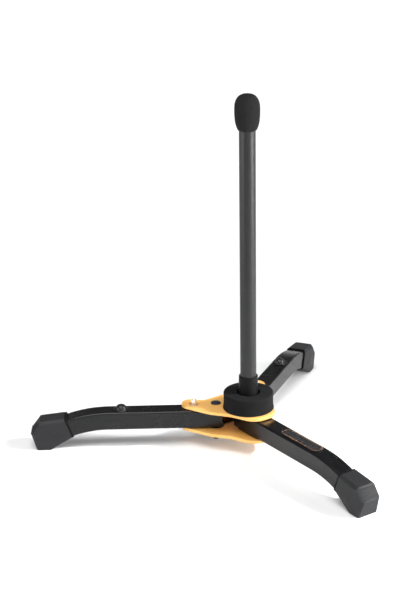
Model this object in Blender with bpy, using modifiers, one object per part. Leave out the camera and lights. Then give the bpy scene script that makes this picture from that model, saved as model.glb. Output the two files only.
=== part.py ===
"""Folding tripod stand for an alto flute.

Two plates hold a fixed front leg and two swivelling rear legs of square tube, each bent down at its
outer end into a rubber boot. A foam ring on the upper plate takes the foot of the flute, and a pole
with a foam head goes up its bore. Metres, +Z up, floor at Z = 0, front leg toward -Y. The pole's axis
stands behind the origin, which is the middle of the stand's outline on the floor.
"""

import math

import bmesh
import bpy
from mathutils import Matrix, Vector

MM = 0.001
GAP = 0.3 * MM  # between pieces that touch

# Square tube of the legs. Each leg is drawn along +X from its own axis.
TUBE_SIZE = 19.0 * MM
TUBE_WALL = 1.5 * MM
TUBE_CORNER = 2.2 * MM
TUBE_HEIGHT = 29.2 * MM  # of its centre line
BEND_RADIUS = 118.0 * MM
BEND_ANGLE = math.radians(20)
SOCKET_LENGTH = 14.5 * MM  # of tube past the boot's lip
REAR_LEG_BEND = 108.8 * MM  # from the pivot to the start of the bend
FRONT_LEG_BEND = 112.1 * MM  # from the pole's axis
REAR_LEG_TAIL = 6.0 * MM  # of tube behind the pivot
FRONT_LEG_TAIL = 12.0 * MM
REAR_LEG_TURN = math.radians(56.5)  # from straight back

# Where the rear legs turn and lock, from the pole's axis.
PIVOT_X = 21.0 * MM
PIVOT_Y = 27.0 * MM
LOCK_OFFSET = 22.0 * MM  # from the pivot along the leg
PLUG_OFFSET = 95.7 * MM

# Boot: its walls round the tube, and points of its side outline from the middle of its lip, as distance
# outward and height. The sole's ends are distances only, as it lies on the floor.
LIP_TOP_WALL = 2.45 * MM
LIP_SIDE_WALL = 1.4 * MM
LIP_BOTTOM_WALL = 1.1 * MM
BOOT_SIDE_WALL = 2.5 * MM
BOOT_CREASE_WALL = 3.1 * MM
HEEL_TOP = Vector((29.0 * MM, 8.2 * MM))
HEEL_OUT = Vector((38.2 * MM, -4.05 * MM))
SOLE_OUT = 32.2 * MM
SOLE_IN = 18.8 * MM
SIDE_CREASE = Vector((15.0 * MM, -8.1 * MM))
BOOT_CHAMFER = 3.0 * MM
SOLE_CHAMFER = 1.0 * MM

# Plates, both of one outline, from the pole's axis.
PLATE_THICKNESS = 3.0 * MM
PLATE_SPACE = 1.1 * MM  # between a plate and the tubes
REAR_EDGE = 41.0 * MM
REAR_NOTCH = 26.5 * MM
WING_TIP_RADIUS = 9.7 * MM
WING_TIP_OFFSET = Vector((1.15 * MM, 3.55 * MM))  # of its centre from the lock hole
SHOULDER = Vector((38.0 * MM, 12.6 * MM))
WAIST = Vector((24.5 * MM, -4.5 * MM))
NOSE_CORNER = 13.5 * MM
NOSE_EDGE = 29.9 * MM
NOTCH_FILLET = 5.0 * MM
SIDE_FILLET = 12.0 * MM
NOSE_FILLET = 16.0 * MM
LOCK_HOLE = 10.3 * MM

# Fasteners.
PIVOT_SHANK = 6.0 * MM
PIVOT_HEAD = 10.2 * MM
PIVOT_DOME = 1.7 * MM
PIVOT_BOLT_LENGTH = 39.0 * MM
PIVOT_BOLT_CHAMFER = 0.6 * MM
PIVOT_NUT_FLATS = 10.0 * MM
PIVOT_NUT_HEIGHT = 5.0 * MM
SLEEVE_WALL = 1.2 * MM
RIVET_SHANK = 6.0 * MM
RIVET_HEAD = 10.0 * MM
RIVET_DOME = 1.8 * MM
RIVET_FOOT = 1.6 * MM
WASHER_SIZE = 17.0 * MM
FRONT_RIVET_OFFSET = 18.0 * MM
SHIM_WIDTH = 17.0 * MM
SHIM_LENGTH = 32.0 * MM
BOLT_SIZE = 8.0 * MM
BOLT_LENGTH = 44.6 * MM
BOLT_HEAD_HEIGHT = 5.3 * MM
BOLT_FLATS = 13.0 * MM
BOLT_SLEEVE_SIZE = 12.0 * MM
BOLT_WASHER_SIZE = 15.0 * MM
BOLT_WASHER_THICKNESS = 1.2 * MM
NUT_HEIGHT = 6.5 * MM

# Lock: a chrome button in the plate's hole on a sprung plunger in the leg.
LOCK_TRAVEL = 5.2 * MM
PIN_SIZE = 5.0 * MM
PIN_ROUND = 0.6 * MM
COLLAR_RECESS = 1.0 * MM  # of the button's collar below the plate's top
FLANGE_SIZE = 13.0 * MM
FLANGE_THICKNESS = 1.5 * MM
GUIDE_SIZE = 5.0 * MM
GUIDE_CLEARANCE = 1.1 * MM  # left under it when the button is pressed
SPRING_RADIUS = 3.75 * MM
SPRING_WIRE = 0.9 * MM
SPRING_TURNS = 6

# Domed plug in the top of each rear leg.
PLUG_DOME = 10.8 * MM
PLUG_DOME_HEIGHT = 4.2 * MM
PLUG_FLANGE = 15.2 * MM
PLUG_FLANGE_THICKNESS = 1.0 * MM
PLUG_STEM = 8.0 * MM
PLUG_STEM_LENGTH = 4.5 * MM

# Badge on the front leg.
LABEL_MIDDLE = 87.0 * MM
LABEL_LENGTH = 56.0 * MM
LABEL_MARGIN = 1.0 * MM  # of flat tube on each side of it
LABEL_CORNER = 5.0 * MM
LABEL_THICKNESS = 0.5 * MM

# Foam ring.
RING_CLEARANCE = 1.85 * MM  # round the collar
RING_WALL = 13.15 * MM
RING_HEIGHT = 16.8 * MM
RING_HOLLOW = 0.15 * MM
RING_FLARE = 0.6 * MM
RING_FLARE_HEIGHT = 3.0 * MM
RING_ROUND = 1.0 * MM

# Pole and what is on it.
COLLAR_WALL = 1.75 * MM  # round the pole, at its foot
COLLAR_TOP_WALL = 1.5 * MM
COLLAR_HEIGHT = 34.4 * MM
COLLAR_CHAMFER = 0.5 * MM
COLLAR_SEAT = 18.0 * MM  # from its foot up to the pole
INSERT_STEP = 0.8 * MM  # of its rim inside the pole's bore
INSERT_LENGTH = 7.4 * MM
POLE_SIZE = 16.0 * MM
POLE_WALL = 1.2 * MM
POLE_LENGTH = 289.0 * MM
PLUG_CAP = 1.5 * MM
PLUG_SPIGOT = 10.0 * MM
HEAD_WALL = 4.3 * MM  # of foam round the pole
HEAD_TOP = 15.4 * MM  # above its widest place
HEAD_BOTTOM = 19.3 * MM  # below its widest place, where it is cut
HEAD_FULL_BOTTOM = 24.0 * MM
HEAD_POWER = 2.6
HEAD_CAP = 10.7 * MM  # of foam above the plug

# Heights that follow from these.
TUBE_TOP = TUBE_HEIGHT + TUBE_SIZE / 2
TUBE_UNDERSIDE = TUBE_HEIGHT - TUBE_SIZE / 2
TUBE_CEILING = TUBE_TOP - TUBE_WALL
TUBE_FLOOR = TUBE_UNDERSIDE + TUBE_WALL
UPPER_PLATE = TUBE_TOP + PLATE_SPACE
LOWER_PLATE_TOP = TUBE_UNDERSIDE - PLATE_SPACE
LOWER_PLATE = LOWER_PLATE_TOP - PLATE_THICKNESS
PLATE_TOP = UPPER_PLATE + PLATE_THICKNESS
BEND_RUN = BEND_RADIUS * math.sin(BEND_ANGLE)
LIP_HEIGHT = TUBE_HEIGHT - BEND_RADIUS * (1 - math.cos(BEND_ANGLE))
BOOT_HALF_WIDTH = TUBE_SIZE / 2 + BOOT_SIDE_WALL
PIN_RISE = LOCK_TRAVEL + GAP
GUIDE_LENGTH = TUBE_SIZE - 2 * TUBE_WALL - GAP - FLANGE_THICKNESS - LOCK_TRAVEL - GUIDE_CLEARANCE
LABEL_WIDTH = TUBE_SIZE - 2 * TUBE_CORNER - 2 * LABEL_MARGIN
COLLAR_RADIUS = POLE_SIZE / 2 + COLLAR_WALL
RING_HOLE = 2 * (COLLAR_RADIUS + RING_CLEARANCE)
RING_RADIUS = RING_HOLE / 2 + RING_WALL
HEAD_RADIUS = POLE_SIZE / 2 + HEAD_WALL
WASHER_THICKNESS = PLATE_SPACE - 2 * GAP
COLLAR_FOOT = PLATE_TOP + GAP
POLE_FOOT = COLLAR_FOOT + COLLAR_SEAT + GAP
POLE_TOP = POLE_FOOT + POLE_LENGTH
BOLT_END = LOWER_PLATE - GAP + BOLT_LENGTH
NUT_RADIUS = BOLT_FLATS / math.sqrt(3)  # to its corners

# The origin is the middle of the outline, so the pole's axis stands this far behind it.
LEG_BACK = Vector((math.sin(REAR_LEG_TURN), math.cos(REAR_LEG_TURN)))
FRONT_REACH = FRONT_LEG_BEND + BEND_RUN + HEEL_OUT.x
REAR_HEEL = REAR_LEG_BEND + BEND_RUN + HEEL_OUT.x - BOOT_CHAMFER
REAR_REACH = PIVOT_Y + REAR_HEEL * LEG_BACK.y + BOOT_HALF_WIDTH * LEG_BACK.x
AXIS_Y = (FRONT_REACH - REAR_REACH) / 2

SIDES = {"left": -1, "right": 1}
ROUND = 32
SMALL_ROUND = 20


def start_scene():
    for obj in list(bpy.data.objects):
        bpy.data.objects.remove(obj, do_unlink=True)
    made = {}
    for name in ("alto_flute_stand", "cutters"):
        made[name] = bpy.data.collections.new(name)
        bpy.context.scene.collection.children.link(made[name])
    return made["alto_flute_stand"], made["cutters"]


PARTS, CUTTERS = start_scene()


def finish_material(name, colour, roughness, metallic=0.0):
    material = bpy.data.materials.new(name)
    material.use_nodes = True
    shader = material.node_tree.nodes["Principled BSDF"]
    shader.inputs["Base Color"].default_value = (*colour, 1)
    shader.inputs["Roughness"].default_value = roughness
    shader.inputs["Metallic"].default_value = metallic
    return material


GOLD = finish_material("gold_finish", (0.80, 0.50, 0.13), 0.35, 1.0)
BLACK_PAINT = finish_material("black_paint", (0.045, 0.045, 0.05), 0.45)
BOOT_RUBBER = finish_material("boot_rubber", (0.05, 0.05, 0.053), 0.6)
BLACK_FOAM = finish_material("black_foam", (0.03, 0.03, 0.032), 0.9)
BLACK_PLASTIC = finish_material("black_plastic", (0.04, 0.04, 0.042), 0.5)
SATIN_GREY = finish_material("satin_grey", (0.16, 0.16, 0.165), 0.4, 0.8)
CHROME = finish_material("chrome", (0.75, 0.75, 0.77), 0.12, 1.0)
STEEL = finish_material("zinc_steel", (0.5, 0.5, 0.52), 0.35, 1.0)
BLACK_STEEL = finish_material("black_steel", (0.05, 0.05, 0.055), 0.4, 0.6)
BRASS = finish_material("brass", (0.75, 0.55, 0.2), 0.3, 1.0)
LABEL_BLACK = finish_material("label_black", (0.03, 0.03, 0.03), 0.3)


def empty(name, location, turn=0.0):
    """Joint axis or leg line that pieces are parented to."""
    obj = bpy.data.objects.new(name, None)
    obj.location = location
    obj.rotation_euler.z = turn
    PARTS.objects.link(obj)
    return obj


def add_mesh(name, bm, material, parent=None, location=(0, 0, 0), collection=PARTS):
    mesh = bpy.data.meshes.new(name)
    bm.to_mesh(mesh)
    bm.free()
    obj = bpy.data.objects.new(name, mesh)
    if material:
        mesh.materials.append(material)
        mesh.shade_smooth()
        mesh.set_sharp_from_angle(angle=math.radians(35))
    obj.location = location
    obj.parent = parent
    collection.objects.link(obj)
    return obj


def add_cutter(name, bm, parent, location=(0, 0, 0)):
    obj = add_mesh(name, bm, None, parent, location, CUTTERS)
    obj.hide_render = True
    obj.display_type = "WIRE"
    return obj


def combine(obj, other, operation="DIFFERENCE"):
    boolean = obj.modifiers.new(other.name, "BOOLEAN")
    boolean.operation = operation
    boolean.object = other


def prism(radius, low, high, sides=ROUND):
    """Upright cylinder, or a nut's prism with six sides."""
    bm = bmesh.new()
    middle = Matrix.Translation((0, 0, (low + high) / 2))
    bmesh.ops.create_cone(
        bm, cap_ends=True, segments=sides, radius1=radius, radius2=radius,
        depth=high - low, matrix=middle,
    )
    return bm


def drill(obj, name, radius, low, high, location=(0, 0), sides=ROUND):
    """Round upright hole in a piece, from low to high, at a place of its parent."""
    cutter = add_cutter(name, prism(radius, low, high, sides), obj.parent, (*location, 0))
    combine(obj, cutter)


def turned(name, profile, material, parent, location=(0, 0), steps=ROUND, ring=False):
    """Turned piece. The profile is (radius, height) points down its outer side, closed if a ring."""
    bm = bmesh.new()
    verts = [bm.verts.new((radius, 0, height)) for radius, height in profile]
    for a, b in zip(verts, verts[1:]):
        bm.edges.new((a, b))
    if ring:
        bm.edges.new((verts[-1], verts[0]))
    obj = add_mesh(name, bm, material, parent, (*location, 0))
    screw = obj.modifiers.new("turn", "SCREW")
    screw.steps = steps
    screw.render_steps = steps
    screw.use_merge_vertices = True
    screw.merge_threshold = 0.00001
    screw.use_smooth_shade = True
    return obj


def arc(centre, radius, start, end, steps):
    """Points on an arc, both ends among them."""
    angles = [start + (end - start) * i / steps for i in range(steps + 1)]
    return [centre + radius * Vector((math.cos(a), math.sin(a))) for a in angles]


def fillet(before, corner, after, radius, steps=6):
    """Points of the arc that rounds a corner of an outline."""
    back = (before - corner).normalized()
    ahead = (after - corner).normalized()
    half = math.acos(back.dot(ahead)) / 2
    centre = corner + (back + ahead).normalized() * radius / math.sin(half)
    first = corner + back * radius / math.tan(half) - centre
    last = corner + ahead * radius / math.tan(half) - centre
    start = math.atan2(first.y, first.x)
    sweep = math.remainder(math.atan2(last.y, last.x) - start, 2 * math.pi)
    return arc(centre, radius, start, start + sweep, steps)


def rounded_rectangle(length, width, radius, steps=4):
    corners = [Vector((x * length / 2, y * width / 2)) for x, y in ((1, 1), (-1, 1), (-1, -1), (1, -1))]
    points = []
    for i, corner in enumerate(corners):
        points += fillet(corners[i - 1], corner, corners[(i + 1) % 4], radius, steps)
    return points


def circle(centre, radius, steps=ROUND):
    return arc(centre, radius, 0, 2 * math.pi * (1 - 1 / steps), steps - 1)


def flat_piece(name, outline, holes, low, thickness, material, parent):
    """Flat sheet cut to an outline, with holes, drawn as one filled curve."""
    curve = bpy.data.curves.new(name, "CURVE")
    curve.dimensions = "2D"
    curve.fill_mode = "BOTH"
    curve.extrude = thickness / 2
    for points in [outline, *holes]:
        spline = curve.splines.new("POLY")
        spline.points.add(len(points) - 1)
        for point, place in zip(spline.points, points):
            point.co = (place.x, place.y, 0, 1)
        spline.use_cyclic_u = True
    curve.materials.append(material)
    obj = bpy.data.objects.new(name, curve)
    obj.location.z = low + thickness / 2
    obj.parent = parent
    PARTS.objects.link(obj)
    return obj


LOCK = Vector((PIVOT_X, PIVOT_Y)) + LOCK_OFFSET * LEG_BACK
WING_TIP = LOCK + WING_TIP_OFFSET


def touching_angle(point, side):
    """Angle on the wing tip's circle where a line from the point touches it."""
    away = point - WING_TIP
    return math.atan2(away.y, away.x) + side * math.acos(WING_TIP_RADIUS / away.length)


def plate_outline():
    """Rear edge, a wing round each lock hole, a waist under the foam ring and a blunt nose."""
    rear = Vector((0, REAR_EDGE))
    notch = Vector((REAR_NOTCH, REAR_EDGE))
    corner = Vector((NOSE_CORNER, -NOSE_EDGE))
    nose = Vector((0, -NOSE_EDGE))
    upper = touching_angle(notch, -1)
    lower = touching_angle(SHOULDER, 1)
    if upper < lower:
        upper += 2 * math.pi
    tip = arc(WING_TIP, WING_TIP_RADIUS, upper, lower, 14)
    half = fillet(rear, notch, tip[0], NOTCH_FILLET)
    half += tip
    half += fillet(tip[-1], SHOULDER, WAIST, SIDE_FILLET)
    half += fillet(SHOULDER, WAIST, corner, SIDE_FILLET)
    half += fillet(WAIST, corner, nose, NOSE_FILLET, 8)
    return half + [Vector((-point.x, point.y)) for point in reversed(half)]


def make_plates():
    outline = plate_outline()
    shared = [circle(Vector((0, 0)), BOLT_SIZE / 2 + GAP)]
    shared.append(circle(Vector((0, -FRONT_RIVET_OFFSET)), RIVET_SHANK / 2 + GAP, SMALL_ROUND))
    locks = []
    for side in SIDES.values():
        shared.append(circle(Vector((side * PIVOT_X, PIVOT_Y)), PIVOT_SHANK / 2 + GAP, SMALL_ROUND))
        locks.append(circle(Vector((side * LOCK.x, LOCK.y)), LOCK_HOLE / 2))
    flat_piece("top_plate", outline, shared + locks, UPPER_PLATE, PLATE_THICKNESS, GOLD, POLE_AXIS)
    flat_piece("bottom_plate", outline, shared, LOWER_PLATE, PLATE_THICKNESS, GOLD, POLE_AXIS)


def tube_section(bm, grow=0.0):
    """Edges of the tube's rounded square across its line at x = 0, made larger by grow all round."""
    side = TUBE_SIZE + 2 * grow
    points = rounded_rectangle(side, side, TUBE_CORNER + grow, 3)
    verts = [bm.verts.new((0, p.x, p.y)) for p in points]
    return [bm.edges.new((a, b)) for a, b in zip(verts, verts[1:] + verts[:1])]


def pull(bm, edges, offset):
    """Extrudes open edges by an offset and gives back the new ones."""
    made = bmesh.ops.extrude_edge_only(bm, edges=edges)["geom"]
    verts = [v for v in made if isinstance(v, bmesh.types.BMVert)]
    bmesh.ops.translate(bm, vec=offset, verts=verts)
    return [e for e in made if isinstance(e, bmesh.types.BMEdge)]


def make_leg(name, parent, tail, bend_start):
    """Square tube: straight from behind its axis, round the bend and on into the boot."""
    bm = bmesh.new()
    edges = tube_section(bm)
    bmesh.ops.translate(bm, vec=(-tail, 0, TUBE_HEIGHT), verts=bm.verts)
    edges = pull(bm, edges, Vector((tail + bend_start, 0, 0)))
    centre = (bend_start, 0, TUBE_HEIGHT - BEND_RADIUS)
    spun = bmesh.ops.spin(
        bm, geom=edges, cent=centre, axis=(0, 1, 0), angle=BEND_ANGLE, steps=6, use_duplicate=False,
    )
    edges = [e for e in spun["geom_last"] if isinstance(e, bmesh.types.BMEdge)]
    down = Vector((math.cos(BEND_ANGLE), 0, -math.sin(BEND_ANGLE)))
    pull(bm, edges, SOCKET_LENGTH * down)
    bmesh.ops.recalc_face_normals(bm, faces=bm.faces)
    leg = add_mesh(name, bm, BLACK_PAINT, parent)
    shell = leg.modifiers.new("wall", "SOLIDIFY")
    shell.thickness = TUBE_WALL
    shell.offset = -1
    shell.use_even_offset = True
    return leg


def inset_outline(points, depths):
    """Outline moved inward by a depth for each edge, from each point to the next."""
    moved = []
    for i, point in enumerate(points):
        before = (points[i - 1] - point).normalized()
        after = (points[(i + 1) % len(points)] - point).normalized()
        moved.append(point + (before * depths[i] + after * depths[i - 1]) / abs(before.cross(after)))
    return moved


def make_boot(name, parent, lip):
    """Faceted boot: the hull of its side outline, a chamfer inside that and the crease of each side."""
    middle = Vector((0, LIP_HEIGHT))
    across = Vector((math.sin(BEND_ANGLE), math.cos(BEND_ANGLE)))
    lip_top = middle + (TUBE_SIZE / 2 + LIP_TOP_WALL) * across
    lip_bottom = middle - (TUBE_SIZE / 2 + LIP_BOTTOM_WALL) * across
    outline = [lip_top, middle + HEEL_TOP, middle + HEEL_OUT, Vector((SOLE_OUT, 0)),
               Vector((SOLE_IN, 0)), lip_bottom]
    lip_half = TUBE_SIZE / 2 + LIP_SIDE_WALL
    widths = [lip_half] + 4 * [BOOT_HALF_WIDTH] + [lip_half]
    depths = 3 * [BOOT_CHAMFER] + [SOLE_CHAMFER, BOOT_CHAMFER, 0]
    sole_half = BOOT_HALF_WIDTH - SOLE_CHAMFER
    flats = 3 * [BOOT_HALF_WIDTH - BOOT_CHAMFER] + 2 * [sole_half] + [lip_half - BOOT_CHAMFER]
    crease = middle + SIDE_CREASE
    crease_half = TUBE_SIZE / 2 + BOOT_CREASE_WALL
    bm = bmesh.new()
    for side in SIDES.values():
        for points, halves in ((outline, flats), (inset_outline(outline, depths), widths)):
            for point, half in zip(points, halves):
                bm.verts.new((lip + point.x, side * half, point.y))
        bm.verts.new((lip + crease.x, side * crease_half, crease.y))
    bmesh.ops.convex_hull(bm, input=bm.verts)
    bmesh.ops.dissolve_limit(bm, angle_limit=0.01, verts=bm.verts, edges=bm.edges)
    boot = add_mesh(name, bm, BOOT_RUBBER, parent)
    bm = bmesh.new()
    edges = tube_section(bm, GAP)
    bmesh.ops.contextual_create(bm, geom=edges)
    before_lip = 8 * MM
    depth = before_lip + SOCKET_LENGTH + GAP
    made = bmesh.ops.extrude_face_region(bm, geom=list(bm.faces))["geom"]
    verts = [v for v in made if isinstance(v, bmesh.types.BMVert)]
    bmesh.ops.translate(bm, vec=(depth, 0, 0), verts=verts)
    bmesh.ops.translate(bm, vec=(-before_lip, 0, 0), verts=bm.verts)
    bmesh.ops.recalc_face_normals(bm, faces=bm.faces)
    bmesh.ops.rotate(bm, cent=(0, 0, 0), matrix=Matrix.Rotation(BEND_ANGLE, 3, "Y"), verts=bm.verts)
    combine(boot, add_cutter(name + "_socket", bm, parent, (lip, 0, LIP_HEIGHT)))


def dome(radius, low, rise, steps=4):
    """Profile points of a dome, from its top down to its rim."""
    angles = [math.pi / 2 * i / steps for i in range(steps + 1)]
    return [(radius * math.sin(a), low + rise * math.cos(a)) for a in angles]


def make_front_rivet(parent):
    """Rivet through both plates and the front leg: domed head above, flat foot below."""
    head = RIVET_HEAD / 2
    shank = RIVET_SHANK / 2
    seat = PLATE_TOP + GAP
    foot = LOWER_PLATE - GAP
    profile = dome(head, seat + 0.5 * MM, RIVET_DOME - 0.5 * MM) + [(head, seat), (shank, seat)]
    profile += [(shank, foot), (head * 0.8, foot), (head * 0.72, foot - RIVET_FOOT), (0, foot - RIVET_FOOT)]
    turned("front_leg_rivet", profile, STEEL, parent, (FRONT_RIVET_OFFSET, 0), SMALL_ROUND)


def make_sleeve(name, parent, place, outer, inner, low, high, material=STEEL, steps=ROUND):
    """Plain ring: a spacer, a washer or an insert."""
    profile = [(outer, high), (outer, low), (inner, low), (inner, high)]
    turned(name, profile, material, parent, place, steps, ring=True)


def make_pivot(side_name, side):
    """Bolt and nut, spacer tube and two washers that a rear leg turns on."""
    place = (side * PIVOT_X, PIVOT_Y)
    head = PIVOT_HEAD / 2
    shank = PIVOT_SHANK / 2
    seat = PLATE_TOP + GAP
    end = seat - PIVOT_BOLT_LENGTH
    profile = dome(head, seat + 0.4 * MM, PIVOT_DOME - 0.4 * MM) + [(head, seat), (shank, seat)]
    profile += [(shank, end + PIVOT_BOLT_CHAMFER), (shank - PIVOT_BOLT_CHAMFER, end), (0, end)]
    turned(side_name + "_pivot_bolt", profile, BLACK_STEEL, POLE_AXIS, place, SMALL_ROUND)
    bore = shank + GAP
    nut_top = LOWER_PLATE - GAP
    nut_body = prism(PIVOT_NUT_FLATS / math.sqrt(3), nut_top - PIVOT_NUT_HEIGHT, nut_top, 6)
    nut = add_mesh(side_name + "_pivot_nut", nut_body, BLACK_STEEL, POLE_AXIS, (*place, 0))
    drill(nut, side_name + "_nut_bore", bore, 0, TUBE_FLOOR, place, SMALL_ROUND)
    outer = bore + SLEEVE_WALL
    washer = WASHER_SIZE / 2
    make_sleeve(side_name + "_pivot_sleeve", POLE_AXIS, place, outer, bore,
                LOWER_PLATE_TOP + GAP, UPPER_PLATE - GAP)
    make_sleeve(side_name + "_pivot_washer_top", POLE_AXIS, place, washer, outer + GAP,
                TUBE_TOP + GAP, UPPER_PLATE - GAP, BLACK_PLASTIC)
    make_sleeve(side_name + "_pivot_washer_bottom", POLE_AXIS, place, washer, outer + GAP,
                LOWER_PLATE_TOP + GAP, TUBE_UNDERSIDE - GAP, BLACK_PLASTIC)


def make_lock(side_name, axis):
    """Chrome button in the plate's hole, the plunger under it in the leg, and its spring."""
    place = (LOCK_OFFSET, 0)
    collar = LOCK_HOLE / 2 - GAP
    pin = PIN_SIZE / 2
    top = PLATE_TOP + PIN_RISE
    shelf = PLATE_TOP - COLLAR_RECESS
    button = [(0, top), (pin - PIN_ROUND, top), (pin, top - PIN_ROUND), (pin, shelf),
              (collar, shelf), (collar, UPPER_PLATE), (0, UPPER_PLATE)]
    turned(side_name + "_lock_button", button, CHROME, axis, place, SMALL_ROUND)

    head = UPPER_PLATE - GAP
    flange_top = TUBE_CEILING - GAP
    flange_low = flange_top - FLANGE_THICKNESS
    flange = FLANGE_SIZE / 2
    guide = GUIDE_SIZE / 2
    plunger = [(0, head), (collar, head), (collar, flange_top), (flange, flange_top),
               (flange, flange_low), (guide, flange_low), (guide, flange_low - GUIDE_LENGTH),
               (0, flange_low - GUIDE_LENGTH)]
    turned(side_name + "_lock_plunger", plunger, STEEL, axis, place, SMALL_ROUND)
    make_spring(side_name + "_lock_spring", axis, place, TUBE_FLOOR + GAP, flange_low - GAP)


def make_spring(name, parent, place, low, high):
    """Coil spring as one wire on a helix, its ends half a wire inside the given heights."""
    curve = bpy.data.curves.new(name, "CURVE")
    curve.dimensions = "3D"
    curve.bevel_depth = SPRING_WIRE / 2
    curve.bevel_resolution = 1
    curve.use_fill_caps = True
    spline = curve.splines.new("POLY")
    steps = 10 * SPRING_TURNS
    spline.points.add(steps)
    bottom = low + SPRING_WIRE / 2
    rise = high - low - SPRING_WIRE
    for i, point in enumerate(spline.points):
        angle = 2 * math.pi * SPRING_TURNS * i / steps
        x, y = SPRING_RADIUS * math.cos(angle), SPRING_RADIUS * math.sin(angle)
        point.co = (x, y, bottom + rise * i / steps, 1)
    curve.materials.append(STEEL)
    obj = bpy.data.objects.new(name, curve)
    obj.location = (*place, 0)
    obj.parent = parent
    PARTS.objects.link(obj)
    print(f"{name}: {rise / SPRING_TURNS / MM - SPRING_WIRE / MM:.2f} mm between turns")


def make_leg_plug(name, parent):
    """Press-in plug with a domed head on a thin flange."""
    flange = PLUG_FLANGE / 2
    stem = PLUG_STEM / 2
    seat = TUBE_TOP + GAP
    shelf = seat + PLUG_FLANGE_THICKNESS
    profile = dome(PLUG_DOME / 2, shelf, PLUG_DOME_HEIGHT)
    profile += [(flange - 0.4 * MM, shelf), (flange, shelf - 0.4 * MM), (flange, seat), (stem, seat),
                (stem, seat - PLUG_STEM_LENGTH), (0, seat - PLUG_STEM_LENGTH)]
    turned(name, profile, BOOT_RUBBER, parent, (PLUG_OFFSET, 0), SMALL_ROUND)


def make_rear_leg(side_name, side):
    turn = math.atan2(LEG_BACK.y, side * LEG_BACK.x)
    axis = empty(side_name + "_fold_axis", (side * PIVOT_X, AXIS_Y + PIVOT_Y, 0), turn)
    leg = make_leg(side_name + "_leg", axis, REAR_LEG_TAIL, REAR_LEG_BEND)
    pivot = PIVOT_SHANK / 2 + GAP + SLEEVE_WALL + GAP
    drill(leg, side_name + "_pivot_hole", pivot, LOWER_PLATE, PLATE_TOP)
    drill(leg, side_name + "_lock_hole", LOCK_HOLE / 2, TUBE_HEIGHT, PLATE_TOP, (LOCK_OFFSET, 0))
    drill(leg, side_name + "_plug_hole", PLUG_STEM / 2 + GAP, TUBE_HEIGHT, PLATE_TOP, (PLUG_OFFSET, 0),
          SMALL_ROUND)
    make_boot(side_name + "_boot", axis, REAR_LEG_BEND + BEND_RUN)
    make_leg_plug(side_name + "_leg_plug", axis)
    make_lock(side_name, axis)


def make_front_leg():
    axis = empty("front_leg_line", (0, AXIS_Y, 0), -math.pi / 2)
    leg = make_leg("front_leg", axis, FRONT_LEG_TAIL, FRONT_LEG_BEND)
    drill(leg, "front_bolt_hole", BOLT_SIZE / 2 + GAP, LOWER_PLATE, PLATE_TOP)
    drill(leg, "front_rivet_hole", RIVET_SHANK / 2 + GAP, LOWER_PLATE, PLATE_TOP,
          (FRONT_RIVET_OFFSET, 0), SMALL_ROUND)
    make_boot("front_boot", axis, FRONT_LEG_BEND + BEND_RUN)
    make_front_rivet(axis)
    middle = Vector(((FRONT_RIVET_OFFSET + SHIM_WIDTH / 2 - BOLT_SIZE) / 2, 0))
    outline = [middle + p for p in rounded_rectangle(SHIM_LENGTH, SHIM_WIDTH, TUBE_CORNER)]
    holes = [circle(Vector((0, 0)), BOLT_SIZE / 2 + GAP),
             circle(Vector((FRONT_RIVET_OFFSET, 0)), RIVET_SHANK / 2 + GAP, SMALL_ROUND)]
    for name, low in (("top", TUBE_TOP + GAP), ("bottom", LOWER_PLATE_TOP + GAP)):
        flat_piece("front_shim_" + name, outline, holes, low, WASHER_THICKNESS, BLACK_PLASTIC, axis)
    label = [Vector((LABEL_MIDDLE, 0)) + p
             for p in rounded_rectangle(LABEL_LENGTH, LABEL_WIDTH, LABEL_CORNER, 6)]
    flat_piece("leg_label", label, [], TUBE_TOP + GAP, LABEL_THICKNESS, LABEL_BLACK, axis)


def make_centre_bolt():
    """Bolt up through the plates and the front leg, its sleeve, and the washer and nut on top."""
    across = NUT_RADIUS
    shank = BOLT_SIZE / 2
    seat = LOWER_PLATE - GAP
    head = add_mesh("centre_bolt", prism(across, seat - BOLT_HEAD_HEIGHT, seat, 6), STEEL, POLE_AXIS)
    stud = add_cutter("centre_bolt_shank", prism(shank, seat - 1 * MM, BOLT_END), POLE_AXIS)
    combine(head, stud, "UNION")
    bore = shank + GAP
    make_sleeve("bolt_sleeve", POLE_AXIS, (0, 0), BOLT_SLEEVE_SIZE / 2, bore,
                TUBE_FLOOR + GAP, TUBE_CEILING - GAP)
    washer_top = PLATE_TOP + GAP + BOLT_WASHER_THICKNESS
    make_sleeve("bolt_washer", POLE_AXIS, (0, 0), BOLT_WASHER_SIZE / 2, bore, PLATE_TOP + GAP, washer_top)
    nut_low = washer_top + GAP
    nut = add_mesh("stud_nut", prism(across, nut_low, nut_low + NUT_HEIGHT, 6), STEEL, POLE_AXIS)
    drill(nut, "nut_bore", bore, LOWER_PLATE, POLE_FOOT)


def make_base_pad():
    """Foam ring, its sides a little hollow and flared at the foot, with a pocket over the front rivet."""
    low = PLATE_TOP + GAP
    high = PLATE_TOP + GAP + RING_HEIGHT
    hole = RING_HOLE / 2
    middle = (low + high) / 2
    profile = [(hole + RING_ROUND, high), (RING_RADIUS - RING_ROUND, high)]
    profile += [(RING_RADIUS, high - RING_ROUND), (RING_RADIUS - RING_HOLLOW, middle)]
    profile += [(RING_RADIUS, low + RING_FLARE_HEIGHT), (RING_RADIUS + RING_FLARE, low)]
    profile += [(hole, low), (hole, high - RING_ROUND)]
    pad = turned("base_pad", profile, BLACK_FOAM, POLE_AXIS, steps=40, ring=True)
    pocket = PLATE_TOP + GAP + RIVET_DOME + GAP
    drill(pad, "rivet_pocket", RIVET_HEAD / 2 + GAP, PLATE_TOP - 1 * MM, pocket,
          (0, -FRONT_RIVET_OFFSET), SMALL_ROUND)


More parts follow.
